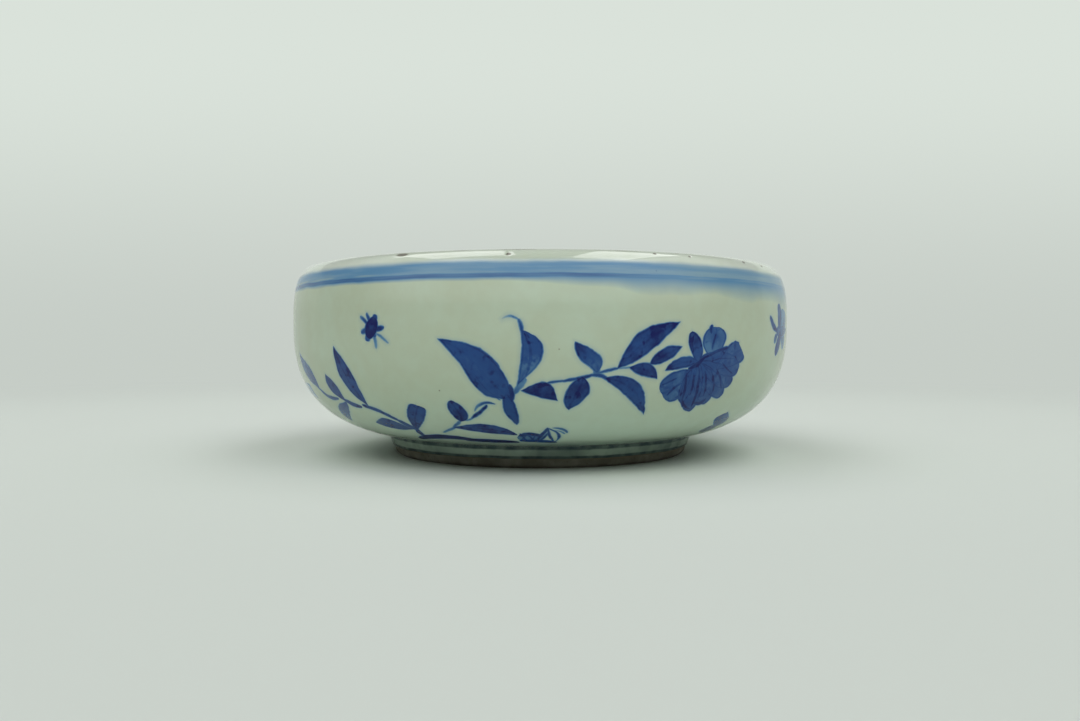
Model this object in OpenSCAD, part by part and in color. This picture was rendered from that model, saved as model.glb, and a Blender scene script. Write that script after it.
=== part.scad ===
// Brush washer: a low round porcelain bowl with an incurved lip, luted to a turned foot ring,
// under a clear glaze with cobalt blue lines round the lip and the foot.
// Millimetres, +Z up, origin at the centre of the ring that the foot rests on.

/* [Bowl] */
// Widest diameter, over the glaze
belly_d = 160; // [150:1:200]
// Height of the widest point above the table
belly_z = 43.5; // [38:0.5:47]
// Height of the lip's crest above the table
pot_h = 59; // [58:0.5:72]
// Diameter of the lip's crest
lip_d = 148; // [128:1:152]
// Thickness of the rounded lip
lip_t = 3.4; // [2.4:0.1:4.6]
// Wall thickness at the widest point, with its glaze
wall_t = 4.5; // [3:0.1:7]
// Diameter of the flat middle of the well
well_d = 44; // [20:1:60]
// Height of the well's floor above the table
well_z = 11.5; // [10.5:0.1:15]

/* [Curves] */
// Squareness of the shoulder between the belly and the lip, 2 for an ellipse
shoulder_power = 2.4; // [1.8:0.1:3]
// Squareness of the curve between the belly and the heel, 2 for an ellipse
heel_power = 2.8; // [2.6:0.05:3.2]
// Diameter at which the heel's curve runs level
heel_d = 48; // [42:1:56]
// Height at which the heel's curve runs level
heel_z = 4.7; // [4:0.1:5.2]

/* [Foot] */
// Height of the seam between the bowl and its foot ring
foot_h = 6.4; // [6:0.1:7.5]
// Outer diameter of the bare foot at the table
foot_d = 95; // [88:0.5:97]
// Thickness of the foot ring at the table
foot_t = 5.5; // [4:0.1:10]
// Thickness of the spigot that locates the foot ring in the bowl's underside
spigot_t = 2; // [1:0.1:2.6]
// Height that the spigot stands above the seam
spigot_h = 0.8; // [0.3:0.1:1.6]
// Bevel along the foot's resting face
foot_bevel = 0.8; // [0.2:0.1:1.2]
// Height of the bare rim that the glaze stops above
bare_h = 2.7; // [1.5:0.1:3]

/* [Glaze and lines] */
// Thickness of the glaze
glaze_t = 0.4; // [0.2:0.05:0.6]
// Drop from the lip's crest to the upper rim line
lip_drop = 3.8; // [3:0.1:5]
// Height of the upper rim line
rim_line_upper_h = 0.9; // [0.4:0.1:2]
// Height of the pale wash between the rim lines
rim_wash_h = 1.8; // [0.8:0.1:4]
// Height of the lower rim line
rim_line_lower_h = 1.1; // [0.4:0.1:2]
// Height of the foot line under the seam
foot_line_upper_h = 0.7; // [0.3:0.1:1.2]
// Height of the foot line above the bare rim
foot_line_lower_h = 0.9; // [0.3:0.1:1.2]

/* [Hidden] */
$fn = 128;
// Straight steps that stand for each curved stretch of a profile
curve_steps = 20;
// Straight steps that stand for the inner half of the lip's round
lip_steps = 6;
// Reach past a profile that a cut needs
past = 1;

belly_r = belly_d / 2;
lip_r = lip_d / 2;
heel_r = heel_d / 2;
well_r = well_d / 2;
inner_r = belly_r - wall_t;
foot_r = foot_d / 2;
foot_in_r = foot_r - foot_t;
seat_r = foot_in_r + spigot_t;
recess_h = foot_h + spigot_h;
throat_top = pot_h - lip_t / 2;

// Heights that the rim lines and foot lines run between
rim_upper_top = pot_h - lip_drop;
rim_wash_top = rim_upper_top - rim_line_upper_h;
rim_lower_top = rim_wash_top - rim_wash_h;
wall_top = rim_lower_top - rim_line_lower_h;
foot_line_upper_z = foot_h - foot_line_upper_h;
foot_glaze_z = bare_h + foot_line_lower_h;

porcelain = [0.86, 0.84, 0.78];
clear_glaze = [0.74, 0.79, 0.71];
cobalt_line = [0.20, 0.35, 0.55];
cobalt_wash = [0.42, 0.56, 0.66];
foot_line_blue = [0.20, 0.29, 0.32];
foot_paste = [0.42, 0.36, 0.29];

// Quarter of a superellipse, from its widest point to the level end of its curve
function quarter(wide, level, power) = [
    for (i = [0 : curve_steps])
        let (a = 90 * i / curve_steps)
        [
            level[0] + (wide[0] - level[0]) * pow(cos(a), 2 / power),
            wide[1] + (level[1] - wide[1]) * pow(sin(a), 2 / power)
        ]
];

// Points of a list in the opposite order
function backwards(points) = [for (i = [len(points) - 1 : -1 : 0]) points[i]];

// Outside from the belly down to the heel, sunk below the glaze by depth
function heel_curve(depth) =
    quarter([belly_r - depth, belly_z], [heel_r, heel_z + depth], heel_power);

// Outside from the belly up to the lip's crest
function shoulder_curve(depth) =
    quarter([belly_r - depth, belly_z], [lip_r, pot_h - depth], shoulder_power);

// Outside from the heel up to the lip's crest
function outer_curve(depth) = concat(
    backwards(heel_curve(depth)),
    [for (i = [1 : curve_steps]) shoulder_curve(depth)[i]]
);

// Inner half of the lip's round, from its crest to its throat
function lip_curve(depth) = [
    for (i = [0 : lip_steps])
        let (a = 90 + 90 * i / lip_steps)
        [
            lip_r + (lip_t / 2 - depth) * cos(a),
            throat_top + (lip_t / 2 - depth) * sin(a)
        ]
];

// Inside from the lip to the belly, opening to the well's full width in half a cosine wave
function throat_curve(depth) = [
    for (i = [1 : curve_steps])
        let (
            s = i / curve_steps,
            throat_r = lip_r - lip_t / 2 + depth,
            swell = inner_r + depth - throat_r
        )
        [
            throat_r + swell * (1 - cos(180 * s)) / 2,
            throat_top + (belly_z - throat_top) * s
        ]
];

// Inside from the well's full width down to its flat floor
function well_curve(depth) =
    quarter([inner_r + depth, belly_z], [well_r, well_z - depth], heel_power);

// Inside from the lip's crest to the edge of the well's floor
function inner_curve(depth) = concat(
    lip_curve(depth),
    throat_curve(depth),
    [for (i = [1 : curve_steps]) well_curve(depth)[i]]
);

// Radius of the glazed outside at a height below the belly
function wall_r(z) = lookup(z, [for (p = heel_curve(0)) [p[1], p[0]]]);

// Radius of the bare foot's outside, tapering down from the seam to the table
function foot_paste_r(z) =
    lookup(z, [[0, foot_r], [foot_h, wall_r(foot_h) - glaze_t]]);

// Half section of the bowl above its seam, sunk below the glaze by depth
module bowl_section(depth) {
    intersection() {
        polygon(concat(
            [[0, heel_z]],
            outer_curve(depth),
            inner_curve(depth),
            [[0, well_z - depth]]
        ));
        translate([0, foot_h]) square([belly_r + past, pot_h]);
    }
}

// Half section of the glaze on the outside of the bowl
module outer_skin() {
    polygon(concat(outer_curve(0), backwards(outer_curve(glaze_t))));
}

// Half section of the glaze on the inside of the bowl, to the middle of its floor
module inner_skin() {
    polygon(concat(
        inner_curve(0),
        [[0, well_z], [0, well_z - glaze_t]],
        backwards(inner_curve(glaze_t))
    ));
}

// Half section of the glaze on the outside of the foot
module foot_skin() {
    polygon([
        [foot_paste_r(bare_h), bare_h],
        [foot_paste_r(bare_h) + glaze_t, bare_h],
        [foot_paste_r(foot_h) + glaze_t, foot_h],
        [foot_paste_r(foot_h), foot_h]
    ]);
}

// Ring turned from the part of a half section that lies between two heights
module ring_between(low, high) {
    rotate_extrude() intersection() {
        children();
        translate([0, low]) square([belly_r + past, high - low]);
    }
}

// Thrown wall and floor of porcelain paste, with a seat turned in its underside for the foot
module thrown_body() {
    color(porcelain) rotate_extrude() difference() {
        bowl_section(glaze_t);
        translate([0, foot_h - past]) square([seat_r, recess_h - foot_h + past]);
    }
}

// Turned ring of paste that carries the bowl, with a bare rim and a spigot on top
module foot_ring() {
    color(foot_paste) rotate_extrude() polygon([
        [foot_in_r + foot_bevel, 0],
        [foot_r - foot_bevel, 0],
        [foot_paste_r(foot_bevel), foot_bevel],
        [foot_paste_r(foot_h), foot_h],
        [seat_r, foot_h],
        [seat_r, recess_h],
        [foot_in_r, recess_h],
        [foot_in_r, foot_bevel]
    ]);
}

// Clear glaze over the lip's crest, down to the rim lines outside and as far inside
module lip_glaze() {
    color(clear_glaze) ring_between(rim_upper_top, pot_h + past) {
        union() {
            outer_skin();
            inner_skin();
        }
    }
}

// Cobalt line under the lip
module rim_line_upper() {
    color(cobalt_line) ring_between(rim_wash_top, rim_upper_top) outer_skin();
}

// Thin cobalt wash between the two rim lines
module rim_wash() {
    color(cobalt_wash) ring_between(rim_lower_top, rim_wash_top) outer_skin();
}

// Cobalt line below the wash
module rim_line_lower() {
    color(cobalt_line) ring_between(wall_top, rim_lower_top) outer_skin();
}

// Clear glaze on the outside wall, from the seam with the foot to the rim lines
module wall_glaze() {
    color(clear_glaze) ring_between(foot_h, wall_top) outer_skin();
}

// Cobalt line on the foot, under the seam
module foot_line_upper() {
    color(foot_line_blue) ring_between(foot_line_upper_z, foot_h) foot_skin();
}

// Clear glaze on the foot between its two lines
module foot_glaze() {
    color(clear_glaze) ring_between(foot_glaze_z, foot_line_upper_z) foot_skin();
}

// Cobalt line on the foot, above the bare rim
module foot_line_lower() {
    color(foot_line_blue) ring_between(bare_h, foot_glaze_z) foot_skin();
}

// Clear glaze on the well's floor and inner wall, up to the lip's glaze
module well_glaze() {
    color(clear_glaze) ring_between(0, rim_upper_top) inner_skin();
}

// Clear glaze on the underside and the inner face of the foot, stopping at the bare rim
module base_glaze() {
    color(clear_glaze) rotate_extrude() polygon([
        [0, recess_h - glaze_t],
        [foot_in_r - glaze_t, recess_h - glaze_t],
        [foot_in_r - glaze_t, bare_h],
        [foot_in_r, bare_h],
        [foot_in_r, recess_h],
        [0, recess_h]
    ]);
}

thrown_body();
foot_ring();
lip_glaze();
rim_line_upper();
rim_wash();
rim_line_lower();
wall_glaze();
foot_line_upper();
foot_glaze();
foot_line_lower();
well_glaze();
base_glaze();
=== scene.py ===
"""Looks of a blue and white porcelain brush washer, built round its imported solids."""

import math
from collections import namedtuple
from functools import partial

import bpy
import numpy as np
from bpy.props import FloatProperty, FloatVectorProperty, PointerProperty
from bpy.types import Operator, Panel, PropertyGroup
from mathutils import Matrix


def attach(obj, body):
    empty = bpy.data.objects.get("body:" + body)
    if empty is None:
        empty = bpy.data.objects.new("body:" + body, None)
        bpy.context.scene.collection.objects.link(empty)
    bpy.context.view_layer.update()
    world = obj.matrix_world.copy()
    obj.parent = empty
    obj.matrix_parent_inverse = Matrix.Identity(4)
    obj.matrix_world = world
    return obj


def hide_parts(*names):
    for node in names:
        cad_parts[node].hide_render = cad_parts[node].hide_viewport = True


bl_info = {
    "name": "Porcelain Brush Washer",
    "version": (1, 0, 0),
    "blender": (4, 5, 0),
    "location": "View3D > Sidebar > Washer",
    "description": "Glaze, brush painting, bare foot and studio stage of a porcelain brush washer",
    "category": "Object",
}

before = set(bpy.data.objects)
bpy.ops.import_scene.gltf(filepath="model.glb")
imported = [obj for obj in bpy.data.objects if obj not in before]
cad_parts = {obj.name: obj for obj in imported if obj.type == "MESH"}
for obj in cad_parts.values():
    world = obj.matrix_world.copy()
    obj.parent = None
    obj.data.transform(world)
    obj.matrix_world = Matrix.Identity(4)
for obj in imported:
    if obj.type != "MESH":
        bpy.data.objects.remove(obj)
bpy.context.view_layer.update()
BODY = "root"
MM = 0.001

# Image of the photographed view that the brush marks were read from, in pixels
PHOTO_W = 1080
PHOTO_H = 721

# One painted leaf or petal: the pixels of its base, tip and widest points, how drawn out its ends are,
# how dark it is at its base and tip, and how much darker along its outline and its midrib
Leaf = namedtuple(
    "Leaf", "base tip side other sharp dark_base dark_tip outline rib other_sharp", defaults=(None,))

# One thin brush line: the pixels of its ends and of the point that it bows through, its half width in
# pixels, and how dark it starts and ends
Line = namedtuple("Line", "start end bow half dark_start dark_end")

# One nick in the lip: its pixel and its half width in millimetres
Nick = namedtuple("Nick", "pixel half")

# One coat of a ring grid: its points and normals, and the profile that was carried round
Coat = namedtuple("Coat", "points normals rows")

# Rows of each coat's face, and of its backing where that has fewer, and columns round it. The lip's rows are
# those of one of its sides
WALL_ROWS = 100
WALL_BACK_ROWS = 30
WALL_COLUMNS = 576
LIP_ROWS = 16
LIP_COLUMNS = 1440
WELL_ROWS = 96
WELL_BACK_ROWS = 40
WELL_COLUMNS = 384
FOOT_ROWS = 20
FOOT_COLUMNS = 480
BASE_ROWS = 70
BASE_COLUMNS = 320

# Pitch of the throwing rings, and the radius within which the wall's stray dies away
THROW_PITCH = 6.5 * MM
STILL_R = 20 * MM

# Pitch and depth of the foot's turning marks, and depth of the dents in its bare rim
TURN_PITCH = 0.62 * MM
TURN_DEPTH = 0.05 * MM
DENT_DEPTH = 0.18 * MM

# Share of its thickness that the foot's glaze loses at its lower edge, how far up that dies away, the gap
# behind the glaze, and the radius of the glaze that pooled in the corner of the base
EDGE_LOSS = 0.7
EDGE_RUN = 0.25 * MM
FOOT_GAP = 0.02 * MM
BASE_FILLET = 1.4 * MM

# Least length and area that a direction is still taken from, and the steps of a ray that looks for the wall
TINY = 1e-12
TINY_AREA = 1e-16
RAY_STEPS = 4000

# Nicks that the photographed view shows, the seed and count of those on the rest of the lip, and their depth
LIP_NICKS = (
    Nick((402, 254.6), 1.7), Nick((508.5, 254), 0.6), Nick((744, 262.3), 0.7),
    Nick((762, 266.3), 0.6), Nick((690, 256.5), 0.4), Nick((655, 253.5), 0.5))
NICK_SEED = 7
NICK_COUNT = 12
NICK_DEPTH = 0.14 * MM

# Ranges of the other nicks: their angles round the lip, and their half widths and places inward from the
# crest, in millimetres. A nick's half height is a least height and a share of its half width
NICK_TURN = (0.45 * math.pi, 1.55 * math.pi)
NICK_HALF = (0.3, 1.3)
NICK_PLACE = (-2.4, 0.8)
NICK_RISE = 0.28 * MM
NICK_SHARE = 0.2

# Distance from the crest that the lip's hidden backing is given, in millimetres
FAR_FROM_CREST = 9.0

# Softness of a painted edge, reach and width of an outline, half width of a midrib, in millimetres,
# how blunt a brush line's ends are, and the least half width of a line, in millimetres
EDGE_SOFT = 0.4
OUTLINE_IN = 0.75
OUTLINE_W = 0.1
RIB_W = 0.55
LINE_TAPER = 0.35
LINE_MIN = 0.15

# Shares of a mark's length that its widest or most bowed point is held between
LEAF_SHARE = (0.12, 0.88)
LINE_SHARE = (0.15, 0.85)

# How far the hand strays from the chart, finely and on the far side, and how far a mark's halo reaches, in
# millimetres, the halo's ink, and a depth that is far outside every mark
HAND_STRAY = 0.9
FAR_STRAY = 12.0
HALO_W = 1.6
HALO_INK = 0.07
FAR_OFF = -60.0

# Most ink of a thin wash, and the ink over which the cobalt deepens to a filled leaf and to a heaped outline
THIN_INK = 0.38
FILLED_INK = (0.34, 0.82)
HEAPED_INK = (0.8, 1.2)

# How much darker the ink is in its heaped blots
HEAPED = 0.24

# Heights of the rim band's top and of its dark line above the table, in millimetres, the ink of its wash, and
# the stretch of the wash's patches, which a brush drew out round the bowl
RIM_TOP = 55.75
RIM_LINE = (51.5, 52.75)
RIM_WASH = 0.37
BRUSHED_ROUND = (0.06, 0.06, 0.9)

# How far the top of the rim band leans down on the right, and the places to the right between which it
# does so, in millimetres
RIM_LEAN = 0.5
LEAN_ACROSS = (25.0, 75.0)

# Ink of the dark line and its change on the right, the change of the wash's share there, and the ink that
# the pale slit above the line takes away on the left
LINE_INK = 0.6
LINE_CHANGE = -0.23
WASH_CHANGE = -0.18
SLIT_LOSS = 0.13

# Depth of the bleed under the line, and how much two stretches to the right add to it, in millimetres
BLEED = 0.9
BLEED_NEAR = 3.1
BLEED_FAR = 1.8

# Places across the chart, in millimetres, between which the slit fades in and ends, the wash and the line
# thin out, the bleed grows twice, and the band comes back to its look on the left, to meet the next
# painting round
SLIT_ACROSS = (-20.0, -60.0)
SLIT_END = (-122.0, -104.0)
WASH_ACROSS = (0.0, 60.0)
LINE_ACROSS = (8.0, 45.0)
NEAR_ACROSS = (-10.0, 34.0)
FAR_ACROSS = (40.0, 95.0)
HOME_ACROSS = (120.0, 95.0)

# Ranges that most values of a noise lie in, for patches and for clouds of pooled glaze
NOISE_RANGE = (0.3, 0.7)
CLOUD_RANGE = (0.35, 0.7)

# Height in millimetres below which the wall's glaze turns towards the paler, bluer pooled colour, which is
# pooled glaze and partly painted light that lifts the lower wall; how much it turns there; how much the
# well's glaze pools; how much the foot's glaze is mixed towards the dark foot cobalt, partly as painted
# shade; and how much foot cobalt is mixed into the wall just above the foot's seam, as painted shade
POOL_AND_LIGHT_Z = 28.0
WALL_POOL_AND_LIGHT = 0.6
WELL_POOL = 0.45
FOOT_POOL_AND_SHADE = 0.24
SEAM_SHADE = 0.6

# How strongly the glaze bends light, on the wall and on the lip, the range of its roughness, the
# roughness of the lip's glossy coat, and the depth of its waves
GLAZE_IOR = 1.34
LIP_IOR = 1.75
SKIN_ROUGH = (0.07, 0.16)
LIP_ROUGH = 0.03
SKIN_WAVE = 0.05 * MM

# Ranges of the roughness of the bare foot and of the paste under the glaze, and the depth of the foot's grain
FOOT_ROUGH = (0.62, 0.88)
PASTE_ROUGH = (0.6, 0.85)
FOOT_GRAIN = 0.12 * MM

# How far outside the lip's crest its glaze is worn brown, in millimetres
WEAR_OUT = 1.5

# Colour of iron specks and grit, the cells per millimetre that may hold a speck, the range of a cell's own
# number over which it comes to hold one, and the distances from its middle over which the speck fades in
SPECK = (0.115, 0.092, 0.065)
SPECK_CELLS = 0.2
SPECK_CHOICE = (0.8, 0.86)
SPECK_REACH = (0.07, 0.03)

# Strips that the wall's bake is laid out in, the shares of a strip's height that the face, the backing
# and the closing row take, and the margins beside and under a strip
BAKE_STRIPS = 3
STRIP_FACE = (0.0, 0.9)
STRIP_BACK = (0.93, 0.98)
STRIP_END = 0.985
STRIP_SIDE = 0.004
STRIP_FOOT = 0.01

# Places of a Mix node's colours among its sockets
MIX_FIRST = 6
MIX_SECOND = 7
MIX_RESULT = 2

# Corners of the softboxes as they hang level, their height, and the sweep's lengths, in metres
SOFTBOXES = (
    ("softbox_left", (-0.66, -0.3), (-0.12, 0.42)),
    ("softbox_right", (0.20, -0.52), (0.60, 0.42)))
SOFTBOX_Z = 1.0
SWEEP_FRONT = 2.0
SWEEP_Y = 0.9
SWEEP_R = 0.5
SWEEP_TOP = 0.95
SWEEP_HALF = 3.0

# Nearest distance that the camera sees, in metres, and the roughness and gloss of the stage's paper
CLIP_START = 0.01
PAPER_ROUGH = 0.9
PAPER_GLOSS = 0.1

# Sines of the heights above the horizon between which the room grows light and, higher up, dark again, the
# depths of a direction between which it grows full in front and dim behind, and its light at the sides and
# behind
ROOM_RISE = (0.42, 0.62)
ROOM_FALL = (0.78, 0.90)
ROOM_FRONT = (-0.1, -0.5)
ROOM_SIDE = 0.27
ROOM_BACK = (0.1, 0.6)
ROOM_DIM = 0.22

# Parts of a direction to the right between which the room grows lighter, and how much lighter it is there
ROOM_RIGHT = (0.1, 0.6)
ROOM_MORE = 1.25

# Sines of the heights between which the room that the glaze mirrors grows bright, and the depths of a
# direction between which it does so in front
SHINE_RISE = (-0.02, 0.22)
SHINE_FRONT = (0.0, -0.5)

# Distances from the washer between which the paper fades into its far colour, and the height at which that
# has turned to its top colour, in millimetres
FAR_PAPER = (240.0, 620.0)
FAR_TOP = 620.0

LEFT_SPRAY = (
    Leaf((369, 406.5), (333, 346.5), (352, 375), (343.3, 382), 2.2, 0.8, 1.02, 0.25, 0.12),
    Leaf((347, 402.5), (325, 374), (336.5, 386), (330.3, 389.5), 2.2, 0.85, 0.88, 0.2, 0.1),
    Leaf((320, 390), (299.3, 352.5), (311, 370), (305.5, 373.5), 2.4, 0.72, 0.6, 0.1, 0.1),
    Leaf((346, 401.5), (352, 420.8), (338.8, 409), (349.5, 411), 1.8, 0.8, 0.62, 0.1, 0.1),
    Leaf((414, 429.3), (376.5, 422.7), (387, 418.6), (396, 428.8), 2.2, 0.82, 0.85, 0.1, 0.1),
    Leaf((418, 430.5), (415.5, 404.8), (406.8, 412.5), (426.3, 409), 1.15, 0.9, 0.98, 0.15, 0.15),
    Leaf((461, 421.8), (450.8, 399.8), (467.3, 413.5), (449.3, 410.5), 1.5, 0.98, 1.0, 0.15, 0.1),
    Leaf((452.5, 427.5), (517, 435), (490, 424.9), (488, 433), 1.8, 0.98, 1.02, 0.15, 0.1),
    Line((318.5, 387.5), (338.5, 398.5), (326.5, 395), 1.3, 0.8, 0.85),
    Line((307.5, 383), (317, 398), (311, 391.5), 1.4, 0.35, 0.45),
    Line((344, 399.5), (362, 406.8), (352.5, 404.2), 1.6, 1.0, 1.0),
    Line((362, 405), (400, 421), (381, 412), 1.4, 1.0, 0.85),
    Line((398, 420), (419, 430.5), (408, 425.3), 1.4, 0.8, 1.0),
    Line((416.5, 428.5), (425, 436.5), (420.3, 433), 1.6, 1.05, 1.05),
    Line((420, 438.2), (476, 439.8), (446, 437), 2.1, 1.15, 1.15),
    Line((464, 439.6), (519, 442.2), (490, 440.9), 1.5, 1.15, 1.2),
    Line((461, 421), (453.5, 427.5), (457, 424.5), 1.6, 0.6, 0.85),
    Line((457, 426.3), (443, 432.5), (450, 429.8), 1.3, 0.85, 0.4),
    Line((464, 420.5), (473.5, 417.7), (468.5, 419.5), 0.9, 0.5, 0.75),
    Line((471.5, 418), (487, 405), (480.5, 411.8), 1.8, 0.95, 1.1),
    Line((474.5, 411.5), (495, 404), (480.5, 404), 1.5, 0.6, 0.85),
)

CENTRE_LEAVES = (
    Leaf((512, 398), (437, 339), (488.3, 355.7), (482.7, 393.5), 1.9, 0.86, 0.84, 0.2, 0.06, 4.0),
    Leaf((506, 394), (516.8, 424.8), (503.3, 408.5), (517, 410), 1.4, 0.9, 0.82, 0.22, 0.0),
    Leaf((515.5, 391.5), (521.5, 329.5), (543.4, 352.5), (520.4, 363), 2.3, 0.52, 0.86, 0.2, 0.06),
    Leaf((521.5, 390.5), (557.8, 400.6), (546, 382.3), (538, 397), 2.2, 1.02, 1.05, 0.12, 0.0),
    Line((522.5, 333.5), (517.8, 318.6), (521, 325), 1.9, 0.9, 0.75),
    Line((519.2, 320), (502, 318.6), (510.5, 316.3), 1.2, 0.75, 0.25),
    Line((523.5, 331), (524.5, 378), (530.6, 352), 2.6, 1.08, 0.72),
    Line((468, 364), (500, 400), (481.5, 384), 1.3, 0.9, 1.05),
    Line((446, 341.8), (500, 368), (477, 349), 1.6, 0.98, 0.98),
    Line((509, 384), (510.5, 402), (511.5, 393), 3.2, 0.98, 1.0),
    Line((513.5, 393.5), (526, 378.5), (518.8, 387.3), 3.0, 0.62, 0.5),
)

RIGHT_BRANCH = (
    Leaf((596, 373), (575.6, 342.3), (600.8, 356.8), (579, 357.3), 1.35, 0.64, 1.04, 0.14, 0.06, 2.0),
    Leaf((582, 376.5), (569, 410), (565.2, 393.6), (588.8, 392.5), 1.7, 1.02, 0.85, 0.14, 0.08),
    Leaf((604, 377.8), (643.5, 414.8), (638.8, 383.4), (628, 398), 2.1, 0.9, 0.88, 0.16, 0.08),
    Leaf((617, 369.3), (680.8, 321.8), (641.3, 331.6), (649, 352), 2.3, 0.96, 1.04, 0.14, 0.06),
    Leaf((649.5, 364), (682.3, 346.6), (663.5, 348.4), (667, 360.8), 1.9, 0.98, 1.02, 0.14, 0.06),
    Leaf((629, 367.3), (657.5, 378.8), (649.5, 363.4), (641, 375.4), 1.9, 1.02, 0.98, 0.14, 0.0),
    Line((546, 383.3), (566, 380.2), (556, 381.7), 1.2, 0.85, 0.95),
    Line((562, 381), (594, 374.8), (579, 378.4), 1.9, 1.0, 0.8),
    Line((588, 375.6), (609, 380), (600, 375.6), 2.0, 0.78, 0.95),
    Line((596.5, 377), (597.8, 365), (597, 371), 3.6, 0.62, 0.6),
    Line((597, 373.8), (619, 368), (608, 370.6), 1.6, 0.66, 0.9),
    Line((619, 368.6), (651, 363), (637, 366), 1.0, 0.55, 0.75),
    Line((644, 330.5), (662, 334), (655, 330), 2.2, 1.0, 1.0),
    Line((622, 362), (650, 343), (636, 352.5), 1.8, 1.0, 1.05),
)

FLOWER = (
    Leaf((713, 357), (715.3, 326.6), (703.3, 341), (726.3, 337.5), 1.1, 0.6, 0.72, 0.36, 0.05),
    Leaf((697.5, 363), (692.6, 331.3), (689.3, 345), (702.8, 346), 1.2, 0.74, 1.1, 0.28, 0.0),
    Leaf((701, 363), (665.3, 370.8), (683, 357.2), (680, 368.6), 1.6, 0.68, 1.08, 0.24, 0.08),
    Leaf((692, 370), (660.8, 391.5), (667.5, 375.8), (676, 400), 1.1, 0.72, 0.66, 0.34, 0.1),
    Leaf((716, 371), (739, 342.8), (725.5, 349.5), (744, 358.5), 1.2, 0.74, 0.72, 0.34, 0.1),
    Leaf((699, 362), (739.5, 366), (722, 350.3), (727, 377.5), 1.1, 0.8, 0.76, 0.26, 0.0),
    Leaf((699, 362), (730.5, 384.5), (726, 366), (713, 385.5), 1.2, 0.8, 0.76, 0.28, 0.0),
    Leaf((699, 362), (719.5, 397.5), (722.3, 379), (703, 388), 1.2, 0.8, 0.76, 0.28, 0.0),
    Leaf((699, 362), (704.5, 404), (713.5, 384), (693, 388), 1.2, 0.8, 0.78, 0.28, 0.0),
    Leaf((699, 362), (689.5, 411.3), (702.5, 388), (680.5, 392), 1.2, 0.8, 0.8, 0.28, 0.0),
    Leaf((697, 366), (682, 404.5), (693, 386), (679.8, 386), 1.3, 0.78, 0.8, 0.28, 0.0),
    Line((712, 334), (712.2, 324.3), (711.6, 329), 1.8, 0.95, 1.0),
    Line((735, 350), (735.4, 340.6), (735.2, 345), 1.8, 0.9, 1.0),
    Line((688, 368.5), (706, 356), (698.5, 364), 2.6, 1.05, 1.1),
    Line((703, 359), (729, 347.5), (716, 352), 2.4, 1.1, 1.05),
    Line((687, 373), (681.5, 402), (685, 388), 1.9, 1.0, 1.1),
    Line((694, 372), (689, 397), (692.5, 386), 1.7, 1.08, 1.05),
    Line((699.5, 368), (691, 407), (697.5, 389), 1.9, 1.08, 1.12),
    Line((705, 369), (703, 397), (706, 383), 1.6, 1.05, 1.12),
    Line((711, 370), (713, 393), (713.5, 382), 1.6, 1.05, 1.1),
    Line((717, 370), (721, 390), (720.5, 380), 1.7, 1.05, 1.12),
    Line((721, 361), (733, 374), (727, 368.5), 1.7, 1.0, 1.1),
    Line((709, 362), (735, 359), (722, 358.5), 1.5, 1.0, 1.0),
    Line((682, 399), (690, 409), (685, 406), 2.2, 1.05, 1.1),
    Line((693, 403), (707, 398), (700, 402.5), 2.0, 1.05, 1.05),
    Line((682, 383), (666, 396), (673, 389), 1.6, 1.0, 0.95),
    Line((678, 378), (662, 385), (670, 381.5), 1.5, 0.95, 0.95),
    Line((684, 391), (674, 398.5), (679, 395.5), 1.5, 0.95, 0.9),
    Line((716, 334), (711.5, 350), (713.5, 343), 1.6, 1.0, 0.9),
    Line((672, 362.5), (684, 362.5), (678, 361.5), 2.2, 1.12, 0.95),
    Line((693.6, 335), (694, 354), (692.6, 345), 2.0, 1.2, 0.95),
    Leaf((711, 428), (727.8, 412), (717, 416), (725.5, 421), 1.6, 0.72, 0.78, 0.1, 0.1),
    Line((699, 432), (715, 425.5), (708, 429), 1.6, 0.7, 0.8),
)

BEE = (
    Leaf((373, 316.5), (369.5, 339.5), (377.3, 328), (364.6, 328), 1.15, 1.1, 1.15, 0.1, 0.0),
    Line((371, 325), (366.3, 312.5), (368.5, 319), 1.6, 1.0, 0.65),
    Line((367.5, 324.5), (359.8, 315.8), (364, 320.5), 1.7, 1.0, 0.65),
    Line((373.5, 324), (374.6, 313.8), (374.5, 319), 2.4, 1.15, 0.95),
    Line((373.5, 329), (383.8, 326.8), (378.5, 328.5), 2.4, 1.15, 0.85),
    Line((368, 328), (360.8, 333.3), (364.5, 330.8), 2.4, 1.1, 0.7),
    Line((369, 332), (367, 342), (367.8, 337), 3.0, 1.1, 0.75),
    Line((374, 334), (376, 348.5), (375, 341), 1.4, 0.65, 0.4),
    Line((376, 333), (388.5, 342.8), (382, 337.8), 1.4, 0.7, 0.42),
    Line((372, 332), (375.5, 337), (374, 334.5), 2.4, 1.0, 0.7),
)

MOTH = (
    Leaf((776.5, 332), (786, 329), (780, 325.5), (781, 337), 1.3, 0.72, 0.62, 0.15, 0.0),
    Line((779.6, 329), (778.8, 303.5), (780, 315), 1.8, 0.85, 0.7),
    Line((777, 331), (770.4, 316), (772.8, 323.5), 1.8, 0.9, 0.8),
    Line((783, 329), (783.3, 309), (783.6, 318), 2.4, 0.6, 0.42),
    Line((780.5, 333), (775, 354.5), (778, 345), 1.9, 0.9, 0.85),
    Line((777, 335), (774.4, 343), (775.5, 339), 1.4, 0.75, 0.55),
    Line((781.5, 334), (783.3, 347), (782.8, 340), 2.0, 0.62, 0.42),
)

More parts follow.
